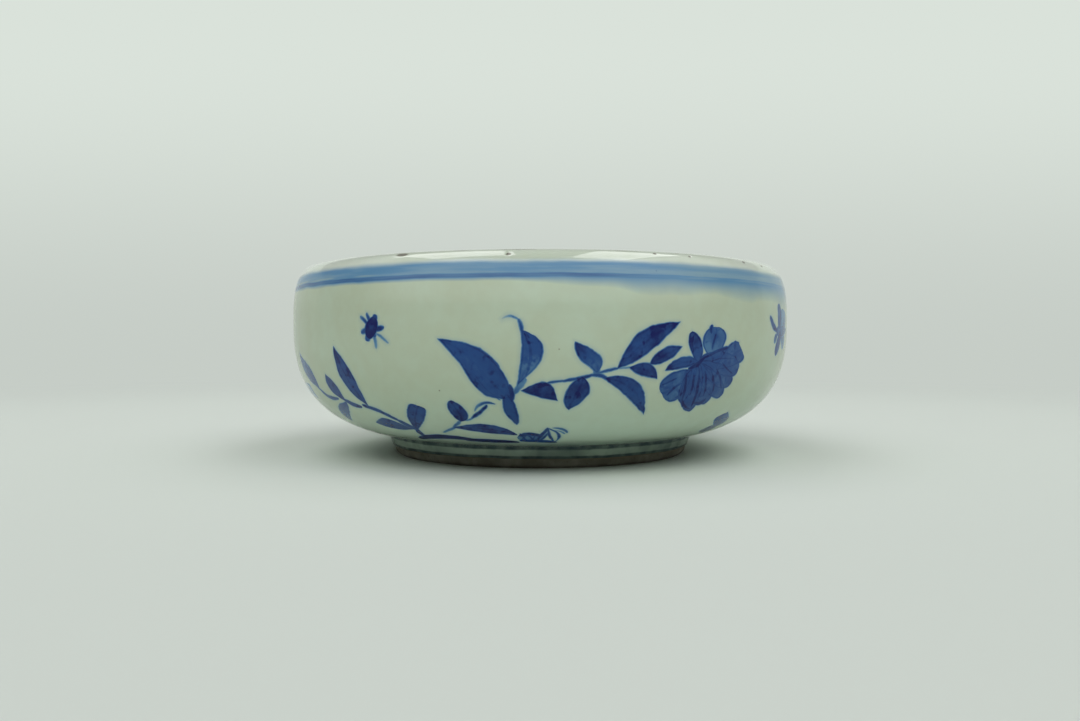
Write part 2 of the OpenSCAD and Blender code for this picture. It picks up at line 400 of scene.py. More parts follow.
CRICKET = (
    Leaf((517.5, 437.5), (543.5, 437.8), (530, 433.6), (530, 442), 1.0, 0.62, 0.66, 0.1, 0.0),
    Line((518, 436), (543, 436.6), (530, 434.4), 1.8, 1.0, 1.0),
    Line((519.5, 440.6), (557, 442.4), (537, 441), 1.4, 1.0, 0.75),
    Line((520, 433.4), (527, 441.5), (523.5, 437.5), 1.4, 1.0, 0.95),
    Line((528, 434.5), (534, 441.5), (531, 437.8), 1.4, 1.0, 0.95),
    Line((526, 434.5), (520.5, 441), (523.5, 438), 1.2, 0.9, 0.85),
    Line((536, 435), (530.5, 441), (533.5, 438), 1.2, 0.9, 0.85),
    Line((537, 440), (548, 427.8), (543, 433.8), 1.8, 1.05, 1.0),
    Line((541, 440), (549, 432), (545.5, 436), 1.3, 0.9, 0.8),
    Line((547.3, 427.6), (553.5, 441.8), (549.6, 435), 1.5, 1.0, 0.8),
    Line((547.5, 428), (555.3, 441.3), (557, 433), 1.4, 0.95, 0.75),
    Line((552.5, 427.8), (567.4, 433), (561, 428.8), 1.2, 0.65, 0.7),
    Line((554, 430), (565, 434), (560, 431.4), 0.9, 0.35, 0.5),
)

BRUSH_MARKS = LEFT_SPRAY + CENTRE_LEAVES + RIGHT_BRANCH + FLOWER + BEE + MOTH + CRICKET


# Settings

def length_setting(name, description, size):
    """Setting for a length, with its default in millimetres."""
    return FloatProperty(name=name, description=description, default=size * MM, unit="LENGTH")


def number_setting(name, description, default):
    """Setting for a number without a unit."""
    return FloatProperty(name=name, description=description, default=default)


def colour_setting(name, description, *default):
    """Setting for a colour."""
    return FloatVectorProperty(name=name, description=description, subtype="COLOR", size=3, default=default)


class WasherSizes(PropertyGroup):
    """Sizes of the washer, as its solids have them."""

    belly_d: length_setting("Belly diameter", "Widest diameter, over the glaze", 160)
    belly_z: length_setting("Belly height", "Height of the widest point above the table", 43.5)
    pot_h: length_setting("Height", "Height of the lip's crest above the table", 59)
    lip_d: length_setting("Lip diameter", "Diameter of the lip's crest", 148)
    lip_t: length_setting("Lip thickness", "Thickness of the rounded lip", 3.4)
    lip_drop: length_setting("Lip drop", "Drop from the lip's crest to the upper rim line", 3.8)
    wall_t: length_setting("Wall thickness", "Wall thickness at the belly, with its glaze", 4.5)
    well_d: length_setting("Well diameter", "Diameter of the flat middle of the well", 44)
    well_z: length_setting("Well height", "Height of the well's floor above the table", 11.5)
    heel_d: length_setting("Heel diameter", "Diameter at which the heel's curve runs level", 48)
    heel_z: length_setting("Heel height", "Height at which the heel's curve runs level", 4.7)
    shoulder_power: number_setting("Shoulder squareness", "Squareness of the curve from belly to lip", 2.4)
    heel_power: number_setting("Heel squareness", "Squareness of the curve from belly to heel", 2.8)
    foot_h: length_setting("Foot height", "Height of the seam between bowl and foot", 6.4)
    foot_d: length_setting("Foot diameter", "Outer diameter of the bare foot at the table", 95)
    foot_t: length_setting("Foot thickness", "Thickness of the foot ring at the table", 5.5)
    spigot_h: length_setting("Spigot height", "Height of the foot ring above its seam with the bowl", 0.8)
    spigot_t: length_setting("Spigot thickness", "Thickness of the foot ring above the seam", 2)
    foot_bevel: length_setting("Foot bevel", "Bevel along the foot's resting face", 0.8)
    bare_h: length_setting("Bare rim", "Height of the bare rim that the glaze stops above", 2.7)
    glaze_t: length_setting("Glaze", "Thickness of the glaze", 0.4)
    coat_t: length_setting("Coat", "Thickness of the modelled coat, within the glaze", 0.15)
    wobble: length_setting("Wobble", "How far the thrown wall strays from a true round", 0.22)


class WasherColours(PropertyGroup):
    """Colours of the glaze, the cobalt, the bare paste and the stage."""

    glaze: colour_setting("Glaze", "Greenish grey-white glaze over the paste", 0.512, 0.591, 0.438)
    lip: colour_setting("Lip", "Paler glaze where it thins over the lip", 0.631, 0.709, 0.599)
    # The pooled glaze is also the colour that the lower wall is lifted towards, partly as painted light
    glaze_pool_and_light: colour_setting("Pooled glaze", "Glaze where it lies thick", 0.570, 0.707, 0.570)
    cobalt_pale: colour_setting("Pale cobalt", "Thin cobalt wash under the glaze", 0.108, 0.270, 0.452)
    cobalt_mid: colour_setting("Cobalt", "Cobalt at the strength of a filled leaf", 0.015, 0.070, 0.251)
    cobalt_dark: colour_setting("Dark cobalt", "Cobalt heaped along an outline", 0.000, 0.006, 0.105)
    paste: colour_setting("Paste", "Bare fired porcelain paste", 0.315, 0.306, 0.248)
    paste_stain: colour_setting(
        "Paste stain", "Brown stain on the bare foot and the worn lip", 0.132, 0.118, 0.087)
    flash: colour_setting(
        "Kiln flash", "Orange line where the glaze stops at the bare foot", 0.192, 0.152, 0.104)
    # The foot cobalt colours the foot's lines, and is also mixed in as painted shade on the foot's glaze and
    # on the wall above its seam
    foot_cobalt_and_shade: colour_setting(
        "Foot cobalt", "Dark greenish cobalt of the foot's lines", 0.041, 0.070, 0.081)
    stage: colour_setting("Stage", "Pale sweep that the washer stands on", 0.672, 0.725, 0.674)
    stage_far: colour_setting("Far stage", "Pale sweep at the foot of the backdrop", 0.565, 0.610, 0.568)
    stage_top: colour_setting("Top of the stage", "Pale sweep high on the backdrop", 0.700, 0.760, 0.702)


class WasherView(PropertyGroup):
    """Camera, lamps and room."""

    distance: length_setting("Distance", "Distance of the camera in front of the washer's axis", 292.8)
    height: length_setting("Height", "Height of the camera above the table", 34.5)
    pitch: FloatProperty(
        name="Pitch", description="How far the camera looks down", default=0.016, unit="ROTATION")
    lens: number_setting("Lens", "Focal length in millimetres", 29.0)
    sensor: number_setting("Sensor", "Width of the camera's sensor in millimetres", 36.0)
    softbox_watts: number_setting("Softbox power", "Power of each softbox per square metre", 6.0)
    room: number_setting("Room", "Strength of the room's soft light in front of the washer", 2.5)
    horizon: number_setting("Horizon", "Strength of the dim light along the horizon", 0.03)
    pale: number_setting("Mirrored horizon", "Strength of the horizon that mirrored rays see", 0.4)
    backdrop: number_setting("Seen horizon", "Strength of the horizon that the camera sees", 0.72)
    shine: number_setting("Mirrored room", "Strength of the room in front that the glaze mirrors", 1.8)


class WasherSettings(PropertyGroup):
    """All of the washer's settings."""

    sizes: PointerProperty(type=WasherSizes)
    colours: PointerProperty(type=WasherColours)
    view: PointerProperty(type=WasherView)


def settings():
    """The washer's settings on the current scene."""
    return bpy.context.scene.washer


# Profiles

def quarter(wide, level, power, count=160):
    """Quarter of a superellipse from its widest point to its level end.

    r = level_r + (wide_r - level_r) cos(a)^(2/power) and z = wide_z + (level_z - wide_z) sin(a)^(2/power),
    for the angle a from nought to a right angle.
    """
    a = np.linspace(0, math.pi / 2, count)
    bend = 2 / power
    across = np.clip(np.cos(a), 0, 1) ** bend
    along = np.sin(a) ** bend
    return np.column_stack([
        level[0] + (wide[0] - level[0]) * across,
        wide[1] + (level[1] - wide[1]) * along,
    ])


def outer_curve(s):
    """Glazed outside as (radius, height) rows, from the heel up to the lip's crest: two quarters
    of superellipses that meet at the belly."""
    wide = (s.belly_d / 2, s.belly_z)
    heel = quarter(wide, (s.heel_d / 2, s.heel_z), s.heel_power)
    shoulder = quarter(wide, (s.lip_d / 2, s.pot_h), s.shoulder_power)
    return np.vstack([heel[::-1], shoulder[1:]])


def inner_curve(s):
    """Glazed inside as (radius, height) rows, from the lip's crest to the middle of the well: a quarter
    circle over the lip, half a cosine wave that opens the throat, a quarter of a superellipse and a flat
    floor."""
    round_r = s.lip_t / 2
    throat_z = s.pot_h - round_r
    throat_r = s.lip_d / 2 - round_r
    full_r = s.belly_d / 2 - s.wall_t
    a = np.linspace(math.pi / 2, math.pi, 40)
    lip = np.column_stack([s.lip_d / 2 + round_r * np.cos(a), throat_z + round_r * np.sin(a)])
    t = np.linspace(0, 1, 80)[1:]
    swell = (1 - np.cos(math.pi * t)) / 2
    throat = np.column_stack([
        throat_r + (full_r - throat_r) * swell,
        throat_z + (s.belly_z - throat_z) * t,
    ])
    well = quarter((full_r, s.belly_z), (s.well_d / 2, s.well_z), s.heel_power)[1:]
    return np.vstack([lip, throat, well, [[0, s.well_z]]])


def inner_halves(s):
    """The inside in two: the lip's part, down to the height of the upper rim line, and the well's part
    below."""
    curve = inner_curve(s)
    top = s.pot_h - s.lip_drop
    low = np.argmax(curve[:, 1] < top)
    edge = [[np.interp(-top, -curve[:low + 1, 1], curve[:low + 1, 0]), top]]
    return np.vstack([curve[:low], edge]), np.vstack([edge, curve[low:]])


def run_length(curve):
    """Distance run along a curve at each of its points."""
    steps = np.hypot(*np.diff(curve, axis=0).T)
    return np.concatenate([[0], np.cumsum(steps)])


def spaced(curve, count):
    """The curve again, as points that are evenly spaced along it."""
    run = run_length(curve)
    at = np.linspace(0, run[-1], count)
    return np.column_stack([np.interp(at, run, curve[:, k]) for k in range(2)])


def cut_above(curve, z, keep_low=False):
    """Part of a rising curve above a height, or below it, with a point at that height."""
    order = np.argsort(curve[:, 1], kind="stable")
    edge = [[np.interp(z, curve[order, 1], curve[order, 0]), z]]
    if keep_low:
        return np.vstack([curve[curve[:, 1] < z], edge])
    return np.vstack([edge, curve[curve[:, 1] > z]])


def sunk(curve, depth):
    """The curve moved to its left hand side, into the coat, by a depth."""
    slope = np.gradient(curve, axis=0)
    slope /= np.maximum(np.hypot(*slope.T), TINY)[:, None]
    return curve + depth * np.column_stack([-slope[:, 1], slope[:, 0]])


def wave(angle):
    """A cosine wave from nought to one."""
    return 0.5 - 0.5 * np.cos(angle)


def thrown_shift(s, theta, z):
    """Inward stray of the thrown wall, never outward: a slow oval, a three-sided wave and faint throwing
    rings, all growing with height above the foot."""
    rise = np.clip((z - s.foot_h) / (s.pot_h - s.foot_h), 0, 1)
    oval = wave(2 * theta - 0.9)
    three = wave(3 * theta + 1.7)
    rings = wave(2 * math.pi * z / THROW_PITCH + 0.6 * theta)
    return -s.wobble * (rise * (0.6 * oval + 0.3 * three) + 0.1 * rings * np.minimum(1, 6 * rise))


def no_shift(theta, z):
    """No stray, at any angle and height."""
    return 0 * theta * z


# Meshes

def round_angles(columns):
    """Angles of the columns round the axis, with nought at the front."""
    return np.linspace(-math.pi, math.pi, columns, endpoint=False)


def revolve(rows, columns, shift):
    """A profile carried round the axis: x = r sin(t), y = -r cos(t), z, with r moved by shift(t, z), less so
    close to the axis.

    The normals are the cross product of the two slopes of the grid.
    """
    theta = round_angles(columns)
    r = rows[:, :1] + shift(theta[None, :], rows[:, 1:]) * np.minimum(1, rows[:, :1] / STILL_R)
    z = np.broadcast_to(rows[:, 1:], r.shape)
    points = np.stack([r * np.sin(theta), -r * np.cos(theta), z], axis=-1)
    up = np.gradient(points, axis=0)
    beside = np.roll(points, -1, axis=1) - np.roll(points, 1, axis=1)
    normals = np.cross(beside, up)
    size = np.linalg.norm(normals, axis=-1, keepdims=True)
    normals = np.where(size > TINY_AREA, normals / np.maximum(size, TINY_AREA), 0)
    return Coat(points, normals, rows)


def ring_faces(row_count, columns, closed):
    """Quads between neighbouring rows of a ring grid, as corner indices and their grid places."""
    i, j = np.meshgrid(
        np.arange(row_count if closed else row_count - 1), np.arange(columns), indexing="ij")
    i2 = (i + 1) % row_count
    j2 = (j + 1) % columns
    quads = np.stack([i * columns + j, i * columns + j2, i2 * columns + j2, i2 * columns + j], axis=-1)
    places = np.stack([
        np.stack([i, j], -1), np.stack([i, j + 1], -1),
        np.stack([i + 1, j + 1], -1), np.stack([i + 1, j], -1)], axis=-2)
    return quads.reshape(-1, 4), places.reshape(-1, 4, 2)


def add_object(name, data, location=(0, 0, 0)):
    """An object on the scene with its data."""
    made = bpy.data.objects.new(name, data)
    made.location = location
    bpy.context.scene.collection.objects.link(made)
    return made


def add_mesh(name, points, normals, quads, maps=None, values=None, poles=()):
    """A mesh object from a grid of points, with smooth custom normals, UV maps per corner, point values, and
    fans of triangles at its poles."""
    mesh = bpy.data.meshes.new(name)
    faces = [quads, *poles]
    corners = np.concatenate([face.reshape(-1) for face in faces]).astype(np.int32)
    sizes = np.concatenate([np.full(len(face), face.shape[1]) for face in faces]).astype(np.int32)
    mesh.vertices.add(len(points))
    mesh.vertices.foreach_set("co", points.astype(np.float32).reshape(-1))
    mesh.loops.add(len(corners))
    mesh.loops.foreach_set("vertex_index", corners)
    mesh.polygons.add(len(sizes))
    mesh.polygons.foreach_set("loop_start", (np.cumsum(sizes) - sizes).astype(np.int32))
    mesh.update(calc_edges=True)
    mesh.polygons.foreach_set("use_smooth", np.ones(len(sizes), bool))
    for label, uv in (maps or {}).items():
        layer = mesh.uv_layers.new(name=label)
        layer.uv.foreach_set("vector", uv.astype(np.float32).reshape(-1))
    for label, value in (values or {}).items():
        layer = mesh.attributes.new(label, "FLOAT", "POINT")
        layer.data.foreach_set("value", value.astype(np.float32).reshape(-1))
    if mesh.validate():
        raise RuntimeError(f"the mesh of {name} had faults")
    mesh.normals_split_custom_set_from_vertices(normals.reshape(-1, 3).tolist())
    return add_object(name, mesh)


def shell(name, visible, backing, columns, shift, **extras):
    """A closed coat: the visible profile and the backing profile behind it carried round the axis, and joined
    along both edges."""
    face = revolve(visible, columns, shift)
    back = revolve(backing, columns, shift)
    points = np.concatenate([face.points, back.points])
    normals = np.concatenate([face.normals, back.normals])
    quads, places = ring_faces(len(points), columns, closed=True)
    made = {key: value(face, back, places) for key, value in extras.items()}
    return add_mesh(name, points.reshape(-1, 3), normals, quads, **made)


def capped_shell(name, rising, falling, columns, shift):
    """A closed coat that reaches the axis: one profile from the axis out to the coat's edge and the other
    from that edge back to the axis, carried round, with a fan of triangles round each pole."""
    grids = revolve(rising[1:], columns, shift), revolve(falling[:-1], columns, shift)
    points = np.concatenate([grid.points for grid in grids])
    normals = np.concatenate([grid.normals for grid in grids])
    row_count = len(points)
    quads, _ = ring_faces(row_count, columns, closed=False)
    first = row_count * columns
    j = np.arange(columns)
    j2 = (j + 1) % columns
    end = first - columns
    fans = (
        np.column_stack([np.full(columns, first), j2, j]),
        np.column_stack([end + j, end + j2, np.full(columns, first + 1)]),
    )
    poles = [[0, 0, rising[0, 1]], [0, 0, falling[-1, 1]]]
    points = np.vstack([points.reshape(-1, 3), poles])
    normals = np.vstack([normals.reshape(-1, 3), [[0, 0, -1], [0, 0, 1]]])
    return add_mesh(name, points, normals, quads, poles=fans)


def dress(piece, material, slot, *nodes):
    """Gives a piece its material and says what it rides on and replaces. The slot is not used."""
    piece.data.materials.append(material)
    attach(piece, BODY)
    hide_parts(*nodes)


# Painting chart

def chart_of(s):
    """Heights of the outer wall with the wall's radius and its chart height there.

    The chart keeps angles: across it runs belly radius times the angle round the axis, and up it runs belly
    radius times the sum of (step along the wall) / radius, nought at the belly, both in millimetres.
    """
    curve = outer_curve(s)
    steps = np.hypot(*np.diff(curve, axis=0).T)
    middle = (curve[1:, 0] + curve[:-1, 0]) / 2
    up = np.concatenate([[0], np.cumsum(steps / middle)])
    up -= np.interp(s.belly_z, curve[:, 1], up)
    return curve[:, 1], curve[:, 0], up * s.belly_d / 2 / MM


def photo_to_chart(pixels):
    """Chart points, in millimetres, that pixels of the photographed view look at.

    Each pixel's ray is stepped from the camera until it is nearer to the axis than the wall at that height.
    """
    s = settings().sizes
    view = settings().view
    pixels = np.asarray(pixels, float).reshape(-1, 2)
    focal = PHOTO_W * view.lens / view.sensor
    across = (pixels[:, 0] - PHOTO_W / 2) / focal
    up = (PHOTO_H / 2 - pixels[:, 1]) / focal
    tilt = view.pitch
    ray = np.column_stack([
        across,
        math.cos(tilt) + up * math.sin(tilt),
        up * math.cos(tilt) - math.sin(tilt),
    ])
    reach = np.linspace(view.distance - 0.6 * s.belly_d, view.distance, RAY_STEPS)
    place = np.array([0, -view.distance, view.height]) + ray[:, None, :] * reach[None, :, None]
    heights, radii, ups = chart_of(s)
    wall = np.interp(place[..., 2], heights, radii, left=0, right=0)
    inside = np.hypot(place[..., 0], place[..., 1]) < wall
    if not inside.any(axis=1).all():
        raise ValueError(f"no wall behind pixels {pixels[~inside.any(axis=1)].tolist()}")
    hit = place[np.arange(len(pixels)), inside.argmax(axis=1)]
    angle = np.arctan2(hit[:, 0], -hit[:, 1])
    return np.column_stack([angle * s.belly_d / 2 / MM, np.interp(hit[:, 2], heights, ups)])


def mark_axis(base, tip):
    """A mark's way from its base to its tip on the chart, the way to its left, its length, and the inputs
    of its group that follow from these."""
    axis = tip - base
    length = math.hypot(*axis)
    across = np.array([-axis[1], axis[0]]) / length
    return axis, across, length, {
        "Base": (*base, 0.0),
        "Along": (*(axis / length ** 2), 0.0),
        "Across": (*across, 0.0),
        "Length": length,
    }


def leaf_values(mark):
    """Group inputs of a leaf: its axis on the chart, and each side's height and powers.

    A side whose widest point lies at the share a of the length has the powers sharp x a and sharp x (1 - a).
    """
    base, tip, side, other = photo_to_chart([mark.base, mark.tip, mark.side, mark.other])
    axis, across, length, values = mark_axis(base, tip)
    sides = [(side, mark.sharp), (other, mark.other_sharp or mark.sharp)]
    sides.sort(key=lambda entry: -np.dot(entry[0] - base, across))
    for label, (side, sharp) in zip(("Left", "Right"), sides):
        share = np.clip(np.dot(side - base, axis) / length ** 2, *LEAF_SHARE)
        p = sharp * share
        q = sharp * (1 - share)
        values[f"{label}_height"] = np.dot(side - base, across) / (share ** p * (1 - share) ** q)
        values[f"{label}_p"] = p
        values[f"{label}_q"] = q
    return dict(
        values, Dark_base=mark.dark_base, Dark_change=mark.dark_tip - mark.dark_base,
        Outline=mark.outline, Rib=mark.rib)


def line_values(mark):
    """Group inputs of a thin line: its axis on the chart, how far its middle bows to the left, and the
    width on the wall that looks as wide as the line does in the photographed view."""
    way = np.subtract(mark.end, mark.start)
    beside = np.array([-way[1], way[0]]) * mark.half / math.hypot(*way)
    start, end, bow, edge, other_edge = photo_to_chart([
        mark.start, mark.end, mark.bow, np.subtract(mark.bow, beside / 2), np.add(mark.bow, beside / 2)])
    axis, across, length, values = mark_axis(start, end)
    share = np.clip(np.dot(bow - start, axis) / length ** 2, *LINE_SHARE)
    half = max(abs(np.dot(other_edge - edge, across)), LINE_MIN)
    return dict(
        values, Bow=np.dot(bow - start, across) / (4 * share * (1 - share)), Half_width=half,
        Dark_start=mark.dark_start, Dark_change=mark.dark_end - mark.dark_start)


# Shader nodes

def add_node(tree, kind, feeds, **traits):
    """A shader node with its traits, and with values, numbers or vectors fed to its inputs, in order or
    by name."""
    node = tree.nodes.new(f"ShaderNode{kind}")
    for trait, value in traits.items():
        setattr(node, trait, value)
    for label, value in feeds.items() if isinstance(feeds, dict) else enumerate(feeds):
        if isinstance(value, Value):
            value.lead(node, label)
        else:
            node.inputs[label].default_value = value
    return node


class Value:
    """What one output of a shader node gives, for other nodes to work on."""

    def __init__(self, node, result=0):
        self.tree = node.id_data
        self.socket = node.outputs[result]

    def lead(self, node, label):
        """Leads the value into an input of a node."""
        self.tree.links.new(self.socket, node.inputs[label])

    def math(self, operation, *others, clamp=False):
        """Result of a Math node on the value and others."""
        return Value(add_node(self.tree, "Math", (self, *others), operation=operation, use_clamp=clamp))

    def __add__(self, other):
        return self.math("ADD", other)

    def __sub__(self, other):
        return self.math("SUBTRACT", other)

    def __rsub__(self, other):
        return Value(add_node(self.tree, "Math", (other, self), operation="SUBTRACT"))

    def __mul__(self, other):
        return self.math("MULTIPLY", other)

    def most(self, other):
        """The larger of the value and another."""
        return self.math("MAXIMUM", other)

    def size(self):
        """The value without its sign."""
        return self.math("ABSOLUTE")

    def ramp(self, low, high, to_low=0.0, to_high=1.0, smooth=True):
        """The value carried from one range to another and held there, with smooth or straight steps.

        A smooth step is held to its range by itself. The Clamp switch would add a node to the shader that is
        worked out last, and with it the many brush marks would no longer fit in the renderer's stack.
        """
        feeds = {"Value": self, "From Min": low, "From Max": high, "To Min": to_low, "To Max": to_high}
        steps = "SMOOTHSTEP" if smooth else "LINEAR"
        node = add_node(self.tree, "MapRange", feeds, interpolation_type=steps, clamp=not smooth)
        return Value(node, "Result")

    def mix(self, first, second):
        """Colour between two, the first where the value is nought and the second where it is one."""
        first, second = (entry if isinstance(entry, Value) else (*entry, 1.0) for entry in (first, second))
        feeds = {"Factor": self, MIX_FIRST: first, MIX_SECOND: second}
        return Value(add_node(self.tree, "Mix", feeds, data_type="RGBA"), MIX_RESULT)

    def vector(self, operation, other, result="Vector"):
        """Result of a Vector Math node on the value and another vector."""
        return Value(add_node(self.tree, "VectorMath", (self, other), operation=operation), result)

    def parts(self):
        """The three parts of a vector or colour."""
        node = add_node(self.tree, "SeparateXYZ", (self,))
        return [Value(node, k) for k in range(3)]

    def noise(self, scale, detail=2.0, roughness=0.5, result="Fac"):
        """Noise at the place that the value gives, of a scale per unit of place."""
        feeds = {"Vector": self, "Scale": scale, "Detail": detail, "Roughness": roughness}
        return Value(add_node(self.tree, "TexNoise", feeds), result)


def joined(first, second, third):
    """A vector from three parts, the first of them a value."""
    return Value(add_node(first.tree, "CombineXYZ", (first, second, third)))


def floats(*labels):
    """Kinds of a node group's sockets that all hold plain numbers."""
    return dict.fromkeys(labels, "Float")


MARK_INPUTS = {
    "Chart": "Vector", "Base": "Vector", "Along": "Vector", "Across": "Vector",
    **floats("Length", "Ink", "Nearness")}


def new_group(name, inputs, outputs):
    """Values that come into a new shader node group, by name, and the node that they leave it by."""
    tree = bpy.data.node_groups.new(name, "ShaderNodeTree")
    for way, sockets in (("INPUT", inputs), ("OUTPUT", outputs)):
        for label, kind in sockets.items():
            tree.interface.new_socket(label, in_out=way, socket_type=f"NodeSocket{kind}")
    entry = tree.nodes.new("NodeGroupInput")
    return {label: Value(entry, label) for label in inputs}, tree.nodes.new("NodeGroupOutput")


def along_and_across(ports):
    """How far a chart point lies along a mark, from nought at its base to one at its tip, how far to its
    left, and how far past its ends, in millimetres."""
    offset = ports["Chart"].vector("SUBTRACT", ports["Base"])
    raw = offset.vector("DOT_PRODUCT", ports["Along"], "Value")
    left = offset.vector("DOT_PRODUCT", ports["Across"], "Value")
    along = raw.most(0.0).math("MINIMUM", 1.0)
    return along, left, (raw - along).size() * ports["Length"]


def lay_mark(ports, out, dark, depth):
    """Ends a mark's group: its ink is a soft step of depth times its darkness, and the larger of that and
    of the ink laid so far goes on, as the larger depth does."""
    ink = depth.ramp(-EDGE_SOFT, EDGE_SOFT) * dark
    ports["Ink"].most(ink).lead(out, "Ink")
    ports["Nearness"].most(depth).lead(out, "Nearness")


def brush_leaf(name):
    """Makes the group that adds one leaf or petal to the ink laid so far.

    Each side of the leaf is the curve height x along^p x (1 - along)^q. Depth is how far a point lies
    inside the nearer side. The ink is darker near the outline and along the midrib.
    """
    labels = floats(
        "Left height", "Left p", "Left q", "Right height", "Right p", "Right q",
        "Dark base", "Dark change", "Outline", "Rib")
    ports, out = new_group(name, MARK_INPUTS | labels, floats("Ink", "Nearness"))
    along, left, past = along_and_across(ports)
    rest = 1.0 - along
    sides = []
    for side in ("Left", "Right"):
        rise = along.math("POWER", ports[f"{side} p"])
        fall = rest.math("POWER", ports[f"{side} q"])
        sides.append(rise * fall * ports[f"{side} height"])
    depth = (sides[0] - left).math("MINIMUM", left - sides[1]) - past
    off_rib = (left - (sides[0] + sides[1]) * 0.5).size()
    dark = along.math("MULTIPLY_ADD", ports["Dark change"], ports["Dark base"])
    dark = depth.ramp(OUTLINE_IN, OUTLINE_W).math("MULTIPLY_ADD", ports["Outline"], dark)
    dark = off_rib.ramp(RIB_W, 0.0).math("MULTIPLY_ADD", ports["Rib"], dark)
    lay_mark(ports, out, dark, depth)


def brush_line(name):
    """Makes the group that adds one thin brush line to the ink laid so far.

    The line's middle is the parabola bow x 4 along (1 - along), and its half width is the half width at its
    middle times a low power of the same arch.
    """
    labels = floats("Bow", "Half width", "Dark start", "Dark change")
    ports, out = new_group(name, MARK_INPUTS | labels, floats("Ink", "Nearness"))
    along, left, past = along_and_across(ports)
    arch = along * (4.0 - along * 4.0)
    off = (left - arch * ports["Bow"]).size()
    half = arch.math("POWER", LINE_TAPER) * ports["Half width"]
    dark = along.math("MULTIPLY_ADD", ports["Dark change"], ports["Dark start"])
    lay_mark(ports, out, dark, half - off - past)


def glaze_skin(name):
    """Makes the group for the glaze itself: a slow drift of colour towards pooled glaze, grey-brown
    specks, and the faint waves and pinholes of its surface. Place is in millimetres."""
    ports, out = new_group(
        name, {"Place": "Vector", "Colour": "Color", "Pooled": "Color", "Pooling": "Float"},
        {"Colour": "Color", "Roughness": "Float", "Height": "Float"})
    place = ports["Place"]
    drift = place.noise(0.04, 3.0).ramp(*CLOUD_RANGE, 0.0, 0.4)
    cloud = place.noise(0.3, 3.0).ramp(*CLOUD_RANGE, 0.0, 0.16)
    pooled = (drift + cloud).math("ADD", ports["Pooling"], clamp=True)
    colour = pooled.mix(ports["Colour"], ports["Pooled"])
    cells = add_node(place.tree, "TexVoronoi", {"Vector": place, "Scale": SPECK_CELLS})
    chosen = Value(cells, "Color").parts()[0].ramp(*SPECK_CHOICE)
    speck = Value(cells, "Distance").ramp(*SPECK_REACH) * chosen
    (speck * 0.7).mix(colour, SPECK).lead(out, "Colour")
    place.noise(0.5, 4.0).ramp(0.3, 0.75, *SKIN_ROUGH).lead(out, "Roughness")
    waves = place.noise(0.16)
    peel = place.noise(0.9) * 0.22
    (waves + peel + speck * -0.5).lead(out, "Height")


def place_group(tree, make, **values):
    """Values that come out of a node group in a tree, with values or numbers fed to its inputs by name.
    The group has the name of the function that makes it, and is made the first time it is asked for."""
    name = make.__name__
    if name not in bpy.data.node_groups:
        make(name)
    feeds = {label.replace("_", " "): value for label, value in values.items()}
    node = add_node(tree, "Group", feeds, node_tree=bpy.data.node_groups[name])
    return {label: Value(node, label) for label in node.outputs.keys()}


# Materials

def new_material(name):
    """A material with its shader and the place on the object in millimetres."""
    material = bpy.data.materials.new(name)
    material.use_nodes = True
    tree = material.node_tree
    shader = tree.nodes["Principled BSDF"]
    shader.inputs["IOR"].default_value = GLAZE_IOR
    where = Value(tree.nodes.new("ShaderNodeTexCoord"), "Object")
    return material, shader, where.vector("MULTIPLY", (1 / MM,) * 3)


def coated(place, thin, pooled, pooling):
    """Colour, roughness and height of the glaze, between the colours of thin and of pooled glaze."""
    return place_group(
        place.tree, glaze_skin, Place=place, Colour=(*thin, 1.0), Pooled=(*pooled, 1.0), Pooling=pooling)


def surface(shader, colour, roughness, height, strength, distance=SKIN_WAVE):
    """Leads a colour and a roughness to the shader, and a height through a Bump node of a strength and a
    distance in metres."""
    colour.lead(shader, "Base Color")
    roughness.lead(shader, "Roughness")
    feeds = {"Strength": strength, "Distance": distance, "Height": height}
    Value(add_node(height.tree, "Bump", feeds), "Normal").lead(shader, "Normal")


def attribute(place, name):
    """Value of a point attribute of the piece that a place lies on."""
    return Value(add_node(place.tree, "Attribute", (), attribute_name=name), "Fac")


def strayed_height(place, scale, detail, reach):
    """Height of a place as a hand strays from it by half a reach up and down, both in millimetres."""
    stray = place.noise(scale, detail) - 0.5
    return stray.math("MULTIPLY_ADD", reach, place.parts()[2])


def painted_chart(place, s):
    """Chart point of a place on the wall and its part across, wrapped so that the sprays come twice round the
    bowl. The hand strays from the chart finely all round, and slowly on the side away from the photograph."""
    uv = add_node(place.tree, "UVMap", (), uv_map="paint_chart")
    across, up, _ = Value(uv, "UV").parts()
    half_turn = math.pi / 2 * s.belly_d / 2 / MM
    wrapped = across.math("WRAP", half_turn, -half_turn)
    far = across.size().math("GREATER_THAN", half_turn)
    chart = joined(wrapped, up, 0.0)
    fine = place.noise(0.32, 2.0, result="Color").vector("SUBTRACT", (0.5, 0.5, 0.5))
    slow = place.noise(0.03, 1.0, result="Color").vector("SUBTRACT", (0.5, 0.5, 0.5))
    reach = far * FAR_STRAY
    chart = chart.vector("ADD", fine.vector("MULTIPLY", (HAND_STRAY, HAND_STRAY, 0.0)))
    return chart.vector("ADD", slow.vector("MULTIPLY", joined(reach, reach, 0.0))), wrapped


def rim_wash(place):
    """Ink of the wash under the lip, down to any depth, with the height strayed by the hand and the
    patchiness of the wash. Its top edge leans down to the right."""
    z = strayed_height(place, 0.1, 2.0, 0.6)
    drawn = place.vector("MULTIPLY", BRUSHED_ROUND)
    patch = drawn.noise(1.0, 3.0).ramp(*NOISE_RANGE, 0.9, 1.08)
    lean = place.parts()[0].ramp(*LEAN_ACROSS, 0.0, RIM_LEAN)
    top = (z + lean).ramp(RIM_TOP + 0.95, RIM_TOP - 0.9, 0.0, RIM_WASH)
    heaped = z.ramp(RIM_TOP - 2.4, RIM_TOP - 1.0, 0.94, 1.06)
    return top * heaped * patch, z, patch


